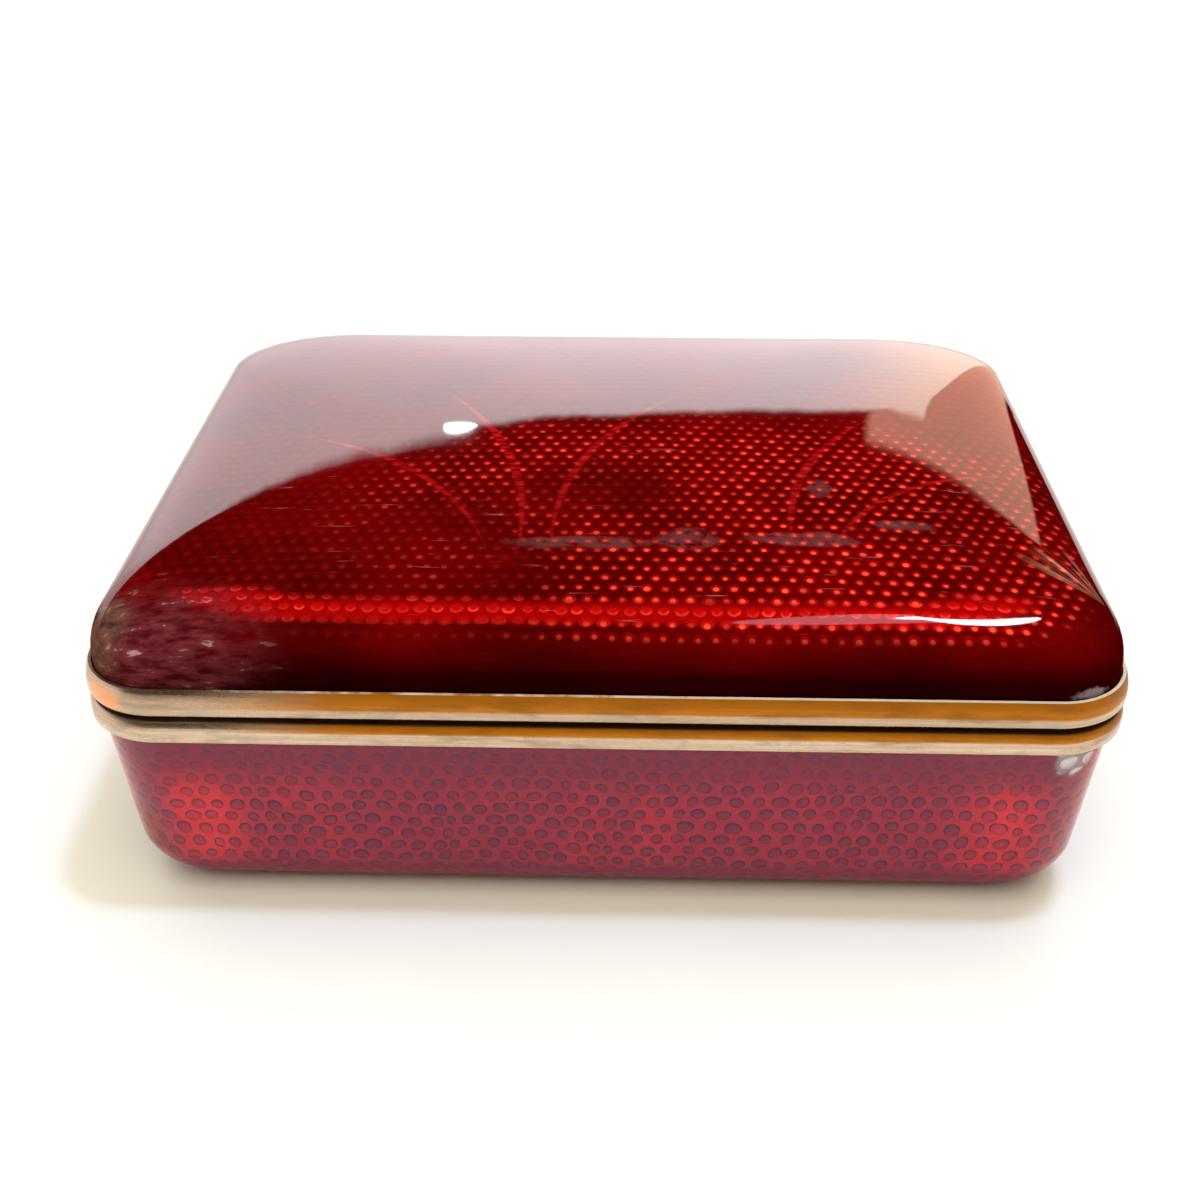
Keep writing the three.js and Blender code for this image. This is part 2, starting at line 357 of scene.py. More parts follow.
class Finish:
    """A material under construction."""

    def __init__(self, name):
        self.material = bpy.data.materials.new(name)
        self.material.use_nodes = True
        self.tree = self.material.node_tree
        self.shader = self.tree.nodes["Principled BSDF"]

    def feed(self, socket, value):
        if isinstance(value, Value):
            self.tree.links.new(value.socket, socket)
        else:
            socket.default_value = value

    def node(self, kind, settings=None, inputs=None, out=0):
        made = self.tree.nodes.new(kind)
        for key, value in (settings or {}).items():
            setattr(made, key, value)
        for key, value in (inputs or {}).items():
            self.feed(made.inputs[key], value)
        return Value(self, made.outputs[out])

    def math(self, operation, *values):
        return self.node("ShaderNodeMath", {"operation": operation}, dict(enumerate(values)))

    def where(self):
        """Object coordinates, in metres."""
        return self.node("ShaderNodeTexCoord", out="Object")

    def place(self):
        """Object coordinates: the vector in metres, and x, y and z in millimetres."""
        vector = self.where()
        axes = [self.node("ShaderNodeSeparateXYZ", inputs={0: vector}, out=k) for k in range(3)]
        x, y, z = (axis * 1000 for axis in axes)
        return vector, x, y, z

    def vector(self, x, y, z=0.0):
        return self.node("ShaderNodeCombineXYZ", inputs={0: x, 1: y, 2: z})

    def noise(self, vector, scale, detail, rough=0.5):
        return self.node("ShaderNodeTexNoise", inputs={
            "Vector": vector, "Scale": scale, "Detail": detail, "Roughness": rough})

    def streaks(self, vector, scale, detail, rough=0.5):
        """Noise with a scale of its own along each of x, y and z."""
        stretched = self.node("ShaderNodeMapping", inputs={"Vector": vector, "Scale": scale})
        return self.noise(stretched, 1.0, detail, rough)

    def fade(self, value, low, high):
        """0 below low, 1 above high, eased between. low may be the larger."""
        return self.node(
            "ShaderNodeMapRange", {"interpolation_type": "SMOOTHSTEP"},
            {"Value": value, "From Min": low, "From Max": high, "To Min": 0.0, "To Max": 1.0})

    def blend(self, mask, a, b):
        return self.node("ShaderNodeMix", {"data_type": "RGBA"}, {0: mask, 6: a, 7: b}, out=2)

    def bump(self, height, distance, below=None):
        inputs = {"Height": height, "Distance": distance * MM, "Strength": 1.0}
        if below is not None:
            inputs["Normal"] = below
        return self.node("ShaderNodeBump", inputs=inputs)

    def set(self, **values):
        for key, value in values.items():
            self.feed(self.shader.inputs[key.replace("_", " ")], value)
        return self.material


def rgb(r, g, b):
    return (r, g, b, 1.0)


BLACK = rgb(0.0, 0.0, 0.0)


def foil_dots(f, u, v, pitch, row, radius, jitter):
    """Pressed dots in staggered rows: height, how far up the dot, reach from its middle, luck."""
    count_from = 400.0
    line = v / row + count_from
    k = f.math("FLOOR", line)
    column = u / pitch + count_from + 0.5 * f.math("MODULO", k, 2.0)
    i = f.math("FLOOR", column)
    place = f.vector(i, k)
    flat = {"noise_dimensions": "2D"}
    chance = f.node("ShaderNodeTexWhiteNoise", flat, {"Vector": place}, out="Color")
    luck = f.node("ShaderNodeTexWhiteNoise", flat, {"Vector": place}, out="Value")
    shift_u = f.node("ShaderNodeSeparateColor", inputs={0: chance}, out=0) - 0.5
    shift_v = f.node("ShaderNodeSeparateColor", inputs={0: chance}, out=1) - 0.5
    size = f.node("ShaderNodeSeparateColor", inputs={0: chance}, out=2) * 0.3 + 0.82
    du = (column - i - 0.5) * pitch + shift_u * jitter
    dv = (line - k - 0.5) * row + shift_v * jitter
    reach = (du * du + dv * dv) / (size * size * (radius * radius))
    return f.math("MAXIMUM", 1.0 - reach, 0.0), dv / (size * radius), reach, luck


def near_spot(f, x, y, z, spot, size, ragged, full=0.55):
    """1 in the middle of a worn spot, 0 beyond its ragged edge."""
    dx, dy, dz = x - spot[0], y - spot[1], z - spot[2]
    square = dx * dx / size[0] ** 2 + dy * dy / size[1] ** 2 + dz * dz / size[2] ** 2
    return f.fade(f.math("SQRT", square) + ragged, 1.0, full)


def most(f, masks):
    whole = masks[0]
    for mask in masks[1:]:
        whole = f.math("MAXIMUM", whole, mask)
    return whole


def foil_blade(f, x, y, start, end, bow, half_width):
    """A polished blade in the foil, bowed to its right side and narrow at both ends."""
    chord = Vector((end[0] - start[0], end[1] - start[1]))
    half = chord.length / 2
    radius = (half * half + bow * bow) / (2 * bow)
    across = Vector((chord.y, -chord.x)).normalized()
    centre = (Vector(start) + Vector(end)) / 2 + across * (bow - radius)
    dx, dy = x - centre.x, y - centre.y
    ahead = dx * across.x + dy * across.y
    aside = dy * across.x - dx * across.y
    spread = math.asin(half / radius)
    turn = f.math("MINIMUM", abs(f.math("ARCTAN2", aside, ahead)) / spread, 1.0)
    width = (1.0 - turn * turn) * half_width
    off = abs(f.math("SQRT", dx * dx + dy * dy) - radius)
    return f.fade(width - off, -0.12, 0.3) * f.fade(turn, 1.0, 0.96)


# Blades in the lid's foil: start, end, bow and half width
BLADES = [
    ((-13.0, -29.0), (-41.0, 2.0), 5.0, 0.5),
    ((-10.0, -30.0), (-23.0, 15.0), 4.5, 0.6),
    ((10.0, 14.0), (-6.0, -29.0), 5.0, 0.55),
    ((34.0, 8.0), (21.0, -28.0), 4.0, 0.6),
    ((49.0, -6.0), (25.0, -28.0), 4.5, 0.5),
]
# Scuffs on the lid's crown: middle and half size
SCUFFS = [
    ((-3.0, -26.4, 38.7), (9.0, 1.5, 3.0)),
    ((9.4, -25.5, 38.8), (4.0, 2.6, 3.0)),
    ((22.5, -25.0, 38.7), (7.0, 1.7, 3.0)),
    ((25.0, -13.5, 39.1), (1.8, 2.4, 3.0)),
    ((34.0, -21.0, 38.3), (5.0, 1.2, 3.0)),
]


def red_enamel_lid():
    f = Finish("red_enamel_lid")
    vector, x, y, z = f.place()
    flat_x, flat_y, fold_z = 47.0, 35.0, 35.8
    over_x = f.math("MAXIMUM", abs(x) - flat_x, 0.0)
    over_y = f.math("MAXIMUM", abs(y) - flat_y, 0.0)
    away = f.math("SQRT", over_x * over_x + over_y * over_y) + 0.001
    drop = f.math("MAXIMUM", fold_z - z, 0.0)
    wander = f.noise(vector, 55.0, 2.0) - 0.5
    u = x + f.math("SIGN", x) * over_x / away * drop + wander * 1.2
    v = y + f.math("SIGN", y) * over_y / away * drop + wander * 0.8
    dots, up, reach, luck = foil_dots(f, u, v, pitch=1.85, row=1.78, radius=0.8, jitter=0.2)
    cloud = f.noise(vector, 60.0, 4.0)
    patch = f.noise(vector, 28.0, 2.0)
    ragged = f.noise(vector, 260.0, 5.0, 0.65) - 0.5
    scratch = f.streaks(vector, (110.0, 1500.0, 1500.0), 4.0, 0.6)
    grit = f.streaks(vector, (420.0, 560.0, 640.0), 6.0, 0.7)

    # Foil seen through the glass, with painted light: painted shade low on the sides, a painted
    # sheen along the front fold, and painted glints and lighter dots where lamp light falls at the
    # front
    # Painted shade: the foil darkened low on the sides
    painted_low_shade = f.fade(z, 36.2, 31.8)
    front = f.fade(y, -33.5, -36.0)
    # Painted sheen along the front fold of the lid
    painted_fold_sheen = f.fade(z, 36.55, 36.95) * f.fade(z, 37.65, 37.25) * front
    # Where painted lamp light falls on the dots: the front half of the crown, less towards the
    # left, above the fold
    beyond = y - 0.85 * f.math("MINIMUM", x + 10.0, 0.0)
    top = f.fade(z, 35.6, 36.6)
    lit = f.fade(beyond, 10.0, -6.0) * (0.06 + 0.94 * f.fade(x + 0.6 * y, -50.0, -18.0))
    lit = lit * f.fade(patch, 0.3, 0.52) * top
    faint = f.math("MAXIMUM", lit, 0.16 * top)
    disc = f.fade(reach, 1.05, 0.0)
    # Painted glints on the lit dots, and painted bright crescents on the dots in the fold
    painted_glint = f.fade(reach + 0.3 * up, 0.24, 0.04) * (0.25 + 0.75 * luck) * lit * (1.0 - painted_fold_sheen)
    ring = f.fade(abs(reach - 0.5), 0.45, 0.0) * f.fade(up, 0.35, -0.5)
    ring = ring * (0.25 + 0.75 * luck * luck) * painted_fold_sheen
    colour = f.blend(
        f.fade(cloud, 0.3, 0.7), rgb(0.062, 0.0001, 0.0002), rgb(0.125, 0.0003, 0.0004))
    colour = f.blend(f.fade(scratch, 0.48, 0.72) * 0.4, colour, rgb(0.17, 0.0006, 0.0008))
    # Dots painted lighter: strongly where painted lamp light falls, faintly elsewhere
    colour = f.blend(disc * faint * (0.4 + 0.6 * luck), colour, rgb(0.42, 0.0014, 0.0016))
    colour = f.blend(painted_low_shade * 0.88, colour, rgb(0.006, 0.0, 0.0005))
    # Painted sheen on the fold and on its dots
    colour = f.blend(painted_fold_sheen * 0.8, colour, rgb(0.36, 0.0012, 0.0014))
    colour = f.blend(painted_fold_sheen * disc * 0.5, colour, rgb(0.58, 0.003, 0.003))
    # Painted crescents and glints on the dots
    colour = f.blend(ring, colour, rgb(1.0, 0.05, 0.03))
    colour = f.blend(painted_glint, colour, rgb(1.0, 0.10, 0.05))
    blades = most(f, [foil_blade(f, x, y, *blade) for blade in BLADES])
    polished = f.blend(f.fade(scratch, 0.4, 0.6), rgb(0.2, 0.001, 0.002), rgb(0.5, 0.008, 0.01))
    colour = f.blend(blades * 0.75, colour, polished)

    # Wear: clouded and crusted front left corner with painted pale specks of highlight in the
    # cloud, scuffs and scratches on the crown
    worn = near_spot(
        f, x, y, z, (-50.0, -42.0, 34.0), (20.0, 12.0, 9.0), ragged * 0.5, full=0.2)
    bare = near_spot(f, x, y, z, (-53.8, -39.0, 33.6), (5.0, 7.0, 5.4), ragged * 1.1, full=0.3)
    film = f.streaks(vector, (300.0, 800.0, 1100.0), 5.0, 0.62)
    haze_and_painted_specks = f.blend(f.fade(film, 0.34, 0.6), rgb(0.05, 0.003, 0.006), rgb(0.15, 0.024, 0.03))
    # Painted highlights: pale specks in the clouded enamel
    haze_and_painted_specks = f.blend(f.fade(film, 0.61, 0.67) * 0.8, haze_and_painted_specks, rgb(0.44, 0.28, 0.29))
    crust = f.blend(f.fade(grit, 0.32, 0.54), rgb(0.035, 0.008, 0.01), rgb(0.13, 0.055, 0.04))
    crust = f.blend(f.fade(grit, 0.56, 0.72), crust, rgb(0.36, 0.23, 0.17))
    scuff = most(f, [near_spot(f, x, y, z, spot, size, ragged * 1.6) for spot, size in SCUFFS])
    scuff = scuff * f.fade(grit, 0.36, 0.5)
    lines = f.fade(scratch, 0.67, 0.74) * f.fade(y, 4.0, -10.0) * f.fade(z, 36.0, 37.5)

    # Wear on the right: a fan of crazing, and chips above the rim at the front corner
    fan_x, fan_y = x - 54.4, y + 33.0
    fan_turn = f.math("ARCTAN2", fan_y, fan_x)
    fan_far = f.math("SQRT", fan_x * fan_x + fan_y * fan_y)
    rays = f.noise(f.vector(fan_turn * 15.0, fan_far * 0.07), 1.0, 2.0)
    hues = f.noise(f.vector(fan_turn * 11.0, fan_far * 0.05, 4.0), 1.0, 1.0)
    craze = f.fade(fan_far, 12.0, 4.0) * f.fade(fan_turn, 1.72, 1.9) * f.fade(fan_turn, 2.6, 2.25)
    craze = craze * f.fade(rays, 0.46, 0.6)
    rainbow = f.blend(f.fade(hues, 0.4, 0.5), rgb(0.09, 0.03, 0.16), rgb(0.6, 0.3, 0.07))
    rainbow = f.blend(f.fade(hues, 0.54, 0.62), rainbow, rgb(0.72, 0.6, 0.5))
    chips = near_spot(f, x, y, z, (51.5, -42.8, 30.8), (3.0, 2.2, 0.9), ragged * 2.8)

    colour = f.blend(worn * 0.9, colour, haze_and_painted_specks)
    colour = f.blend(bare, colour, crust)
    colour = f.blend(scuff * 0.5, colour, rgb(0.13, 0.05, 0.055))
    colour = f.blend(craze * 0.7, colour, rainbow)
    colour = f.blend(chips * 0.7, colour, rgb(0.3, 0.25, 0.26))
    colour = f.blend(lines * 0.3, colour, rgb(0.4, 0.3, 0.32))
    dull = most(f, [worn * 0.5, bare * 0.9, scuff * 0.4, chips])
    bumped = f.bump(dots * (1.0 - blades), 0.06)
    bumped = f.bump(grit * dull, 0.2, bumped)
    return f.set(
        Base_Color=colour, Metallic=(0.1 + 0.15 * blades) * (1.0 - dull),
        Roughness=0.18 + 0.3 * dull + 0.08 * (cloud - 0.5), Normal=bumped,
        Specular_IOR_Level=0.0, Specular_Tint=rgb(1.0, 0.03, 0.03),
        Coat_Weight=(1.0 - 0.4 * dull) * f.fade(z, 34.2, 35.0), Coat_Roughness=0.03, Coat_IOR=1.5)


def red_enamel_base():
    f = Finish("red_enamel_base")
    vector, x, y, z = f.place()

    # Rows of dots run round the walls and their corners, and down over the rounded foot
    mid_x, mid_y, radius = 46.8, 34.8, 8.0
    over_x = f.math("MAXIMUM", abs(x) - mid_x, 0.0)
    over_y = f.math("MAXIMUM", abs(y) - mid_y, 0.0)
    quarter = mid_x + radius * math.pi / 2 + mid_y
    run = f.math("MINIMUM", abs(x), mid_x) + f.math("ARCTAN2", over_x, over_y) * radius
    run = run + (mid_y - f.math("MINIMUM", abs(y), mid_y))
    behind = f.math("GREATER_THAN", y, 0.0)
    run = run + behind * (2 * quarter - 2 * run)
    wander = f.noise(vector, 70.0, 2.0) - 0.5
    drift = f.streaks(vector, (55.0, 55.0, 55.0), 2.0) - 0.5
    stray = f.noise(vector, 190.0, 1.0) - 0.5
    jog = f.streaks(vector, (170.0, 170.0, 210.0), 1.0) - 0.5
    u = f.math("SIGN", x) * run + wander * 3.2 + stray * 1.3
    below = f.math("MINIMUM", f.math("MAXIMUM", (FILLET - z) / FILLET, 0.0), 1.0)
    v = f.math("MAXIMUM", z, FILLET) - f.math("ARCSINE", below) * FILLET + drift * 3.0 + jog * 1.0
    dots, up, reach, luck = foil_dots(f, u, v, pitch=2.25, row=1.88, radius=0.82, jitter=0.42)
    shown = f.fade(z, 0.2, 0.8)
    inside = f.fade(reach, 1.0, 0.85) * shown
    # Painted shade on each dot, darker towards its upper side, and a painted dark crescent round
    # its upper edge
    shade = inside * (0.45 + 0.25 * f.fade(up, -0.7, 0.6)) * (0.6 + 0.4 * luck)
    edge = f.fade(reach, 0.32, 0.78) * (0.25 + 0.75 * f.fade(up, -0.6, 0.4)) * inside

    # Red with a painted glow near the left and right corners; dulls to purple at the top, with
    # painted lavender reflection on the corners and the foot
    cloud = f.noise(vector, 45.0, 4.0)
    streak = f.streaks(vector, (160.0, 160.0, 40.0), 3.0)
    upper = f.fade(z, 15.0, 22.0)
    foot = f.fade(z, 6.4, 3.8)
    height = f.fade(z, 2.5, 8.0) * f.fade(z, 23.0, 14.0)
    # Painted glow: streaky brighter red near the left and right corners
    painted_glow = f.fade(abs(abs(x) - 44.5) + 16.0 * (streak - 0.5), 8.5, -1.0) * height
    flame = f.fade(streak, 0.5, 0.64) * height
    corner = f.fade(over_x, 0.0, 4.0) * f.fade(over_y, 0.5, 4.0)
    colour = f.blend(cloud, rgb(0.2, 0.001, 0.026), rgb(0.4, 0.002, 0.026))
    colour = f.blend(flame * 0.35, colour, rgb(0.5, 0.004, 0.018))
    colour = f.blend(painted_glow * 0.6, colour, rgb(0.8, 0.014, 0.016))
    colour = f.blend(upper * 0.65, colour, rgb(0.11, 0.001, 0.028))
    # Painted lavender reflection on the rounded corners
    colour = f.blend(corner * 0.4, colour, rgb(0.17, 0.035, 0.08))
    shade = shade * (1.0 - 0.55 * upper - 0.3 * painted_glow)
    # Painted shade and dark crescents on the dots
    colour = f.blend(shade, colour, rgb(0.055, 0.001, 0.05))
    colour = f.blend(edge * (1.0 - 0.6 * upper), colour, rgb(0.006, 0.0005, 0.016))
    # Painted lavender reflection on the rounded foot
    colour = f.blend(foot * 0.8, colour, rgb(0.21, 0.045, 0.13))

    # Wear: a chip at the right corner that bares the foil, and flakes under the front rim
    ragged = f.noise(vector, 330.0, 5.0, 0.65) - 0.5
    chip = near_spot(f, x, y, z, (51.3, -43.0, 22.4), (3.2, 3.0, 3.2), ragged * 0.9)
    flake = near_spot(f, x, y, z, (-0.6, -44.0, 23.7), (2.2, 1.5, 0.55), ragged * 1.4)
    thin_flake = near_spot(f, x, y, z, (-9.0, -44.0, 23.8), (4.0, 1.5, 0.3), ragged * 1.6)
    flake = f.math("MAXIMUM", flake, thin_flake)
    bared = f.blend(inside, rgb(0.3, 0.29, 0.28), rgb(0.55, 0.55, 0.54))
    colour = f.blend(chip, colour, bared)
    colour = f.blend(flake, colour, rgb(0.62, 0.56, 0.47))
    loss = f.math("MAXIMUM", chip, flake)
    bumped = f.bump(dots * shown, 0.17)
    bumped = f.bump(loss * (ragged + 0.5), 0.3, bumped)
    return f.set(
        Base_Color=colour, Metallic=0.7 - 0.7 * flake, Roughness=0.2 + 0.1 * cloud + 0.4 * flake,
        Normal=bumped, Specular_IOR_Level=0.0, Specular_Tint=rgb(1.0, 0.1, 0.2),
        Coat_Weight=(1.0 - loss) * (1.0 - 0.5 * foot), Coat_Roughness=0.03, Coat_IOR=1.46)


def rim_brass():
    f = Finish("rim_brass")
    vector, x, y, z = f.place()
    drawn = f.streaks(vector, (50.0, 50.0, 5000.0), 4.0, 0.6)
    stain = f.streaks(vector, (90.0, 90.0, 500.0), 6.0, 0.62)
    rub = f.streaks(vector, (300.0, 300.0, 900.0), 5.0, 0.7)
    nicks = f.noise(vector, 900.0, 4.0, 0.7)
    over_x = f.math("MAXIMUM", abs(x) - (LENGTH / 2 - CORNER), 0.0)
    over_y = f.math("MAXIMUM", abs(y) - (DEPTH / 2 - CORNER), 0.0)
    inset = CORNER - f.math("SQRT", over_x * over_x + over_y * over_y)
    on_base = f.fade(z, 27.2, 27.0)

    # Pale rubbed brass with stains and nicks
    pale = f.fade(x, -27.0, -45.0) * f.fade(y, -22.0, -40.0)
    colour = f.blend(f.fade(drawn, 0.35, 0.7), rgb(0.55, 0.39, 0.27), rgb(0.68, 0.53, 0.41))
    colour = f.blend(f.fade(z, 27.2, 27.3) * 0.3, colour, rgb(0.34, 0.2, 0.1))
    colour = f.blend(f.fade(stain, 0.5, 0.68) * 0.75, colour, rgb(0.34, 0.2, 0.11))
    colour = f.blend(f.fade(rub, 0.48, 0.62) * 0.55, colour, rgb(0.4, 0.31, 0.24))
    colour = f.blend(f.fade(nicks, 0.66, 0.76) * 0.6, colour, rgb(0.16, 0.09, 0.05))

    # Painted amber reflection on the sloping upper half of each rim, left off at the pale front
    # left corner, and a pale top edge on the lid's rim, partly rubbed and partly painted highlight
    roof = f.math("MAXIMUM", f.fade(z, 28.3, 28.6), f.fade(z, 25.3, 25.55) * on_base)
    roof = roof * (1.0 - 0.92 * pale) * f.fade(inset, 1.3, 0.9)
    high = f.math("MAXIMUM", f.fade(z, 28.4, 30.3), f.fade(z, 25.4, 26.5) * on_base)
    # Painted amber reflection, darker higher up, streaked
    painted_amber_reflection = f.blend(high, rgb(0.56, 0.19, 0.008), rgb(0.33, 0.105, 0.002))
    painted_amber_reflection = f.blend(f.fade(drawn, 0.42, 0.62) * 0.4, painted_amber_reflection, rgb(0.3, 0.1, 0.004))
    painted_amber_reflection = f.blend(f.fade(stain, 0.45, 0.65) * 0.6, painted_amber_reflection, rgb(0.24, 0.075, 0.002))
    colour = f.blend(roof, colour, painted_amber_reflection)
    # Painted highlight along the lid rim's top edge, patchy where the brass is rubbed
    edge = f.fade(z, 30.3, 30.37) * f.fade(rub + 0.004 * x, 0.3, 0.55)
    colour = f.blend(edge * 0.8, colour, rgb(0.7, 0.62, 0.53))
    copper = near_spot(
        f, x, y, z, (-53.5, -42.5, 28.6), (3.6, 3.6, 1.5), (stain - 0.5) * 1.6)
    colour = f.blend(copper * 0.85, colour, rgb(0.85, 0.36, 0.18))

    # Painted shade in the gap between the rims
    painted_gap_shade = f.fade(z, 26.1, 26.4) * on_base * f.fade(inset, 0.25, 0.5) * f.fade(inset, 1.4, 1.2)
    colour = f.blend(painted_gap_shade * 0.95, colour, rgb(0.008, 0.003, 0.001))
    under = f.fade(z, 27.2, 27.28) * f.fade(z, 27.5, 27.4)
    within = f.fade(inset, 1.4, 1.8)
    covered = most(f, [0.7 * edge, 0.96 * roof, painted_gap_shade, 0.6 * under, 0.5 * within])
    rough = 0.18 + 0.15 * f.fade(stain, 0.4, 0.7) + 0.1 * drawn
    rough = rough + 0.2 * f.fade(nicks, 0.6, 0.75) + 0.08 * roof
    bumped = f.bump(0.5 * drawn + 0.5 * stain + 0.5 * nicks, 0.014)
    return f.set(Base_Color=colour, Metallic=1.0 - covered, Roughness=rough, Normal=bumped,
                 Specular_IOR_Level=0.15)


def hinge_brass():
    f = Finish("hinge_brass")
    stain = f.noise(f.where(), 400.0, 5.0, 0.6)
    colour = f.blend(f.fade(stain, 0.4, 0.7), rgb(0.66, 0.44, 0.24), rgb(0.24, 0.13, 0.06))
    return f.set(Base_Color=colour, Metallic=1.0, Roughness=0.28 + 0.2 * stain,
                 Normal=f.bump(stain, 0.02))


def pin_wire():
    f = Finish("pin_wire")
    streak = f.streaks(f.where(), (100.0, 3000.0, 3000.0), 3.0)
    colour = f.blend(streak, rgb(0.42, 0.4, 0.37), rgb(0.6, 0.58, 0.54))
    return f.set(Base_Color=colour, Metallic=1.0, Roughness=0.25 + 0.15 * streak)


def blue_lining():
    f = Finish("blue_lining")
    vector = f.where()
    speck = f.noise(vector, 900.0, 3.0, 0.7)
    cloud = f.noise(vector, 90.0, 4.0)
    colour = f.blend(cloud, rgb(0.008, 0.03, 0.10), rgb(0.016, 0.055, 0.15))
    colour = f.blend(f.fade(speck, 0.6, 0.72), colour, rgb(0.06, 0.14, 0.24))
    return f.set(Base_Color=colour, Roughness=0.16 + 0.1 * speck, Normal=f.bump(cloud, 0.15))


def bare_foil():
    f = Finish("bare_foil")
    grain = f.noise(f.where(), 700.0, 3.0)
    colour = f.blend(grain, rgb(0.66, 0.65, 0.62), rgb(0.82, 0.81, 0.78))
    return f.set(Base_Color=colour, Metallic=1.0, Roughness=0.2 + 0.15 * grain)


def copper_sheet():
    f = Finish("copper_sheet")
    stain = f.noise(f.where(), 120.0, 5.0)
    colour = f.blend(stain, rgb(0.62, 0.28, 0.15), rgb(0.35, 0.14, 0.07))
    return f.set(Base_Color=colour, Metallic=1.0, Roughness=0.3 + 0.2 * stain)


def white_table():
    """White near the box, and lit by itself far off, so that it stays white to its edge."""
    f = Finish("white_table")
    vector, x, y, z = f.place()
    grain = f.noise(vector, 40.0, 4.0)
    colour = f.blend(grain, rgb(0.86, 0.86, 0.85), rgb(0.9, 0.9, 0.895))
    far = f.fade(f.math("SQRT", x * x + y * y), 450.0, 1100.0)
    white = f.blend(far, BLACK, rgb(0.95, 0.95, 0.94))
    return f.set(Base_Color=colour, Roughness=0.7, Emission_Color=white, Emission_Strength=1.0)


def white_backdrop():
    f = Finish("white_backdrop")
    cloud = f.noise(f.where(), 0.7, 2.0)
    white = f.blend(cloud, rgb(0.96, 0.96, 0.95), rgb(1.0, 1.0, 1.0))
    return f.set(Base_Color=BLACK, Roughness=1.0, Specular_IOR_Level=0.0, Emission_Color=white,
                 Emission_Strength=1.1)


def lit_wall():
    """The wall behind the box: white to the left, warmer to the right, with a brown door."""
    f = Finish("lit_wall")
    vector, x, y, z = f.place()
    low = 1.0 - f.math("MINIMUM", z / 240.0, 1.0)
    shade = (2.7 - 1.3 * low * low) * (1.0 - 0.24 * f.fade(x, 0.0, -350.0))
    shade = shade * (1.0 - 0.35 * f.fade(x, -420.0, -540.0))
    warm = f.fade(x, 110.0, 212.0)
    shade = shade * (1.0 + 0.1 * f.fade(x, 0.0, 110.0) + 0.15 * warm)
    tint = f.blend(warm, rgb(1.03, 1.0, 1.02), rgb(1.25, 1.02, 0.84))
    light = f.node("ShaderNodeVectorMath", {"operation": "SCALE"}, {0: tint, "Scale": shade})
    top_z = 285.0
    door = f.fade(x + 0.23 * (z - top_z), 205.0, 211.0)
    ripple = f.streaks(vector, (30.0, 0.0, 0.0), 4.0, 0.6) - 0.5
    top = top_z + 36.0 * f.fade(x, 0.0, -150.0) + 14.0 * ripple
    lit = f.fade(z, top + 6.0, top - 6.0) * (1.0 - door)
    brown = f.fade(x, 158.0, 166.0) * f.fade(x, 354.0, 346.0) * f.fade(z, 314.0, 306.0)
    brown = brown * (1.0 - lit)
    colour = f.blend(lit, BLACK, light)
    colour = f.blend(brown, colour, rgb(2.3, 1.3, 0.92))
    return f.set(Base_Color=BLACK, Roughness=1.0, Specular_IOR_Level=0.0, Emission_Color=colour,
                 Emission_Strength=1.0)


def dress(piece, material):
    piece.data.materials.clear()
    piece.data.materials.append(material)


def place_piece(piece, body, node, material):
    dress(piece, material)
    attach(piece, body)
    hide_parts(node)


# The box

lid_red = red_enamel_lid()
base_red = red_enamel_base()
brass = rim_brass()
tube_brass = hinge_brass()
lining_blue = blue_lining()

lid_glass = glass_layer("lid_glass", lid_outlines(0, steps=40), ENAMEL)
place_piece(lid_glass, "lid", "lid_enamel", lid_red)
base_glass = glass_layer("base_glass", base_outlines(0, steps=18), ENAMEL)
place_piece(base_glass, "base", "base_enamel", base_red)
lid_inside = glass_layer("lid_inside", lid_outlines(LINING_START, steps=28), LINING)
place_piece(lid_inside, "lid", "lid_lining", lining_blue)
base_inside = glass_layer("base_inside", base_outlines(LINING_START, steps=14), LINING)
place_piece(base_inside, "base", "base_lining", lining_blue)
lid_channel = rim("lid_channel", LID_RIM_SECTION, LID_BOTTOM, side=1)
place_piece(lid_channel, "lid", "lid_rim", brass)
base_channel = rim("base_channel", BASE_RIM_SECTION, BASE_RIM_BOTTOM, side=-1)
place_piece(base_channel, "base", "base_rim", brass)

for number, node in enumerate(TUBES):
    tube = hinge_tube("tube_" + node, number)
    place_piece(tube, node.split("_")[0], node, tube_brass)

dress(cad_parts["hinge_pin"], pin_wire())
silver = bare_foil()
copper = copper_sheet()
for node in ("lid_foil", "base_foil"):
    dress(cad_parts[node], silver)
for node in ("lid_shell", "base_shell"):
    dress(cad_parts[node], copper)


# Table, light and camera, in metres


def table():
    clear_selection()
    bpy.ops.mesh.primitive_plane_add(size=6)
    sheet = bpy.context.object
    sheet.name = "table"
    bpy.ops.object.mode_set(mode="EDIT")
    bpy.ops.mesh.select_all(action="SELECT")
    bpy.ops.mesh.subdivide(number_cuts=5)
    bpy.ops.object.mode_set(mode="OBJECT")
    dress(sheet, white_table())


def backdrop():
    """Pale paper all round, which only the camera sees."""
    clear_selection()
    bpy.ops.mesh.primitive_cylinder_add(
        vertices=64, radius=2.9, depth=3.2, end_fill_type="NOTHING", location=(0, 0, 1.5))
    sheet = bpy.context.object
    sheet.name = "backdrop"
    bpy.ops.object.transform_apply(location=True, rotation=True, scale=True)
    dress(sheet, white_backdrop())
    sheet.visible_diffuse = sheet.visible_glossy = sheet.visible_shadow = False


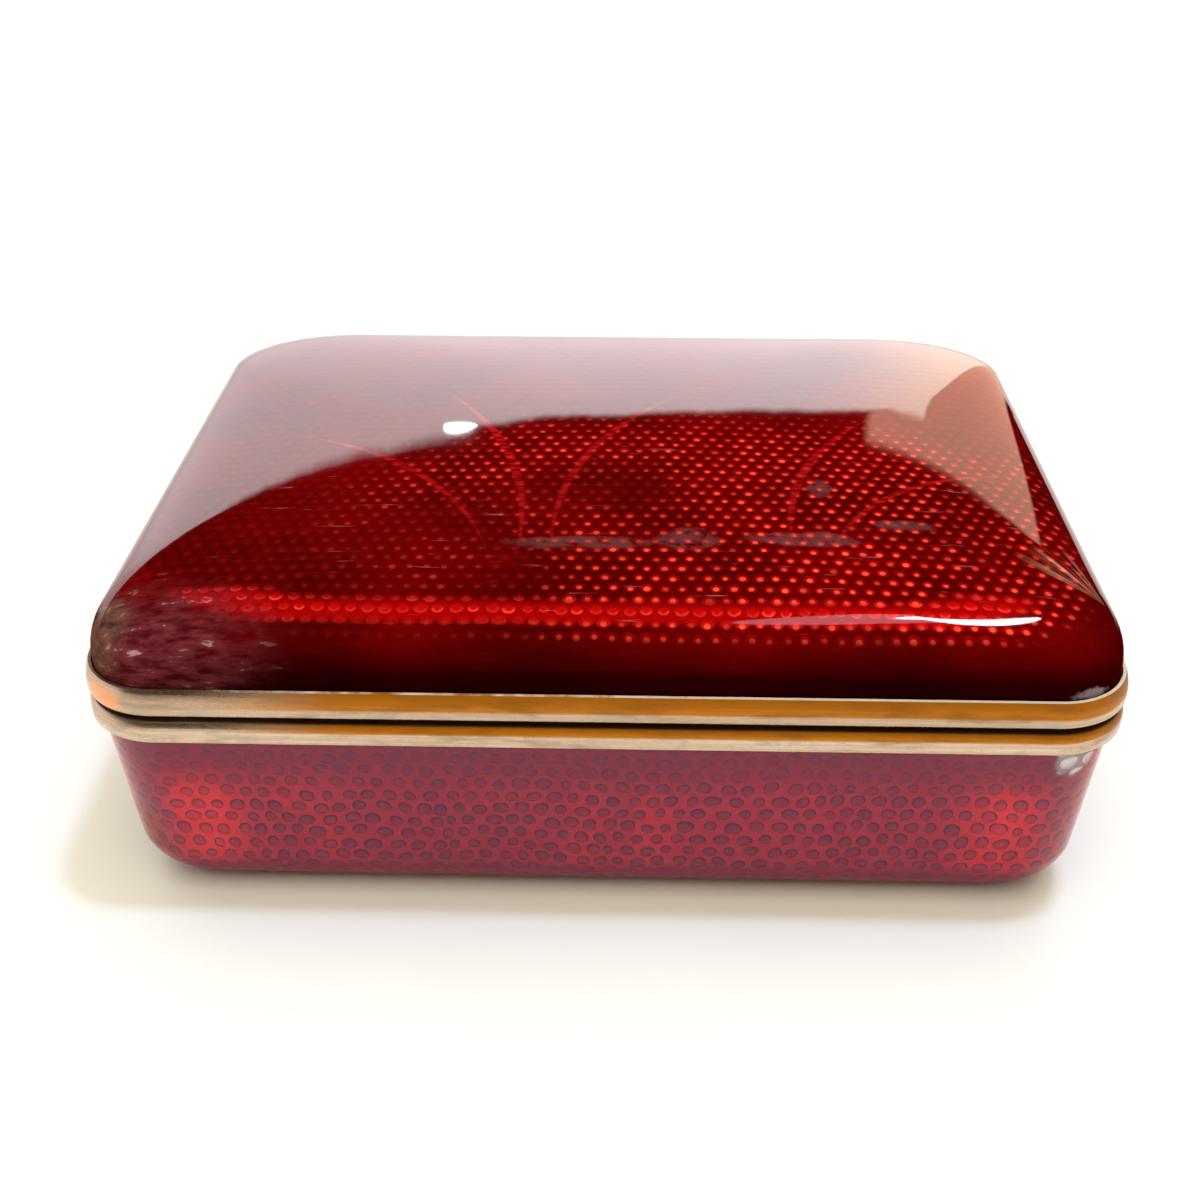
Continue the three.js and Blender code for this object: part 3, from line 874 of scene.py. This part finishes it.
def wall():
    """Bright wall behind the box, which shows in the lid's reflection only."""
    clear_selection()
    left, right, low, high, far = -1.2, 0.36, 0.002, 0.33, 0.60
    middle = ((left + right) / 2, far, (low + high) / 2)
    bpy.ops.mesh.primitive_plane_add(size=1, location=middle, rotation=(math.pi / 2, 0, 0))
    sheet = bpy.context.object
    sheet.name = "wall"
    sheet.scale = (right - left, high - low, 1)
    bpy.ops.object.transform_apply(location=True, rotation=True, scale=True)
    dress(sheet, lit_wall())
    sheet.visible_camera = sheet.visible_shadow = False


def panel(name, place, target, size, radiance, colour, glossy=True, diffuse=True, along=None,
          shape="RECTANGLE"):
    """Soft light of a given size and radiance that faces a target."""
    clear_selection()
    light = bpy.data.lights.new(name, "AREA")
    light.shape = shape
    light.size, light.size_y = size
    light.energy = radiance * math.pi * size[0] * size[1]
    light.color = colour
    lamp = bpy.data.objects.new(name, light)
    bpy.context.scene.collection.objects.link(lamp)
    lamp.location = place
    back = (Vector(place) - Vector(target)).normalized()
    side = Vector(along) if along else Vector((0, 0, 1)).cross(back)
    side = (side - back * side.dot(back)).normalized()
    lamp.rotation_euler = Matrix((side, back.cross(side), back)).transposed().to_euler()
    lamp.visible_camera = False
    lamp.visible_glossy = glossy
    lamp.visible_diffuse = diffuse


def lights():
    lamp_line = (0.703, 0.432, -0.564)
    panel("left_panel", place=(-0.95, -0.05, 0.16), target=(0.0, -0.05, 0.16), size=(1.3, 0.34),
          radiance=1.2, colour=(0.9, 0.93, 1.0))
    panel("right_panel", place=(0.95, -0.15, 0.14), target=(0.0, -0.15, 0.14), size=(1.3, 0.28),
          radiance=0.8, colour=(0.95, 0.92, 1.0))
    panel("lamp", place=(0.207, 0.306, 0.488), target=(0.035, -0.04, 0.037), size=(0.21, 0.03),
          radiance=18.0, colour=(1.0, 0.99, 1.0), along=lamp_line, shape="ELLIPSE")
    panel("lamp_glow", place=(0.112, 0.248, 0.564), target=(0.02, -0.04, 0.037), size=(0.15, 0.06),
          radiance=1.8, colour=(0.95, 0.85, 1.0), diffuse=False, along=lamp_line, shape="ELLIPSE")
    panel("small_lamp", place=(-0.108, 0.592, 0.308), target=(0.0, 0.0, 0.04), size=(0.022, 0.009),
          radiance=14.0, colour=(1.0, 1.0, 1.0), shape="ELLIPSE")
    panel("table_fill", place=(0.0, -0.15, 1.3), target=(0.0, -0.1, 0.0), size=(2.2, 2.2),
          radiance=2.0, colour=(1.0, 0.97, 0.78), glossy=False)
    panel("front_fill", place=(0.0, -0.75, 0.7), target=(0.0, -0.1, 0.0), size=(1.2, 0.6),
          radiance=1.25, colour=(1.0, 0.74, 0.42), glossy=False)
    panel("key", place=(0.16, -0.05, 0.80), target=(0.0, 0.0, 0.02), size=(0.07, 0.07),
          radiance=165.0, colour=(0.52, 0.67, 1.0), glossy=False)


def room():
    world = bpy.data.worlds.new("room")
    bpy.context.scene.world = world
    world.use_nodes = True
    background = world.node_tree.nodes["Background"]
    background.inputs["Color"].default_value = rgb(1.0, 0.93, 0.88)
    background.inputs["Strength"].default_value = 0.005


def photograph_camera():
    sensor, focal_pixels, frame_pixels = 36.0, 1560, 1200
    data = bpy.data.cameras.new("camera")
    data.sensor_width = sensor
    data.lens = sensor * focal_pixels / frame_pixels
    data.clip_start = 0.01
    camera = bpy.data.objects.new("camera", data)
    scene.collection.objects.link(camera)
    camera.location = (3.0 * MM, -178.8 * MM, 123.9 * MM)
    yaw, pitch = -0.024, 0.546
    look = Vector((
        math.sin(yaw) * math.cos(pitch), math.cos(yaw) * math.cos(pitch), -math.sin(pitch)))
    camera.rotation_euler = look.to_track_quat("-Z", "Y").to_euler()
    scene.camera = camera


scene = bpy.context.scene
table()
backdrop()
wall()
lights()
room()
scene.view_settings.view_transform = "Standard"
photograph_camera()
